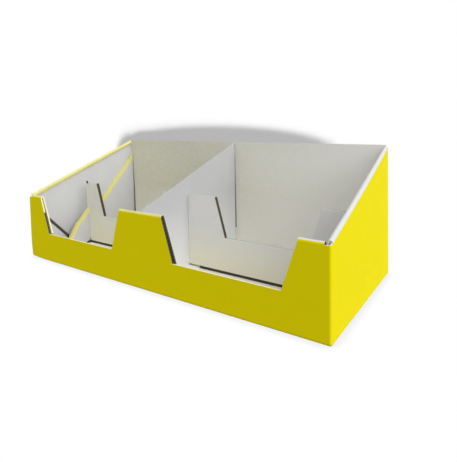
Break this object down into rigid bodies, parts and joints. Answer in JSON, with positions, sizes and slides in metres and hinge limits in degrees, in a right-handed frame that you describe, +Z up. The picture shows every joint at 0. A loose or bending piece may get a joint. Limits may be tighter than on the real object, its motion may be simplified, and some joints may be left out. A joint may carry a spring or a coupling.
{
  "type": "cardboard display stand",
  "caption": "Low open counter display of folded card: notched front, sloping side walls, centre divider and notched cross panel.",
  "frame": {"origin": "on the surface it stands on, in the middle of the outline", "axes": "+X to the right seen from the front, +Y from the low notched front to the high back wall, +Z up"},
  "size_m": [0.38, 0.168, 0.134],
  "materials": {
    "printed_board": "yellow print outside, white liner inside",
    "divider_board": "matte white liner",
    "panel_board": "matte beige liner"
  },
  "bodies": {
    "root": {"tray": "printed_board", "centre_divider": "divider_board", "cross_panel": "panel_board"}
  },
  "joints": []
}
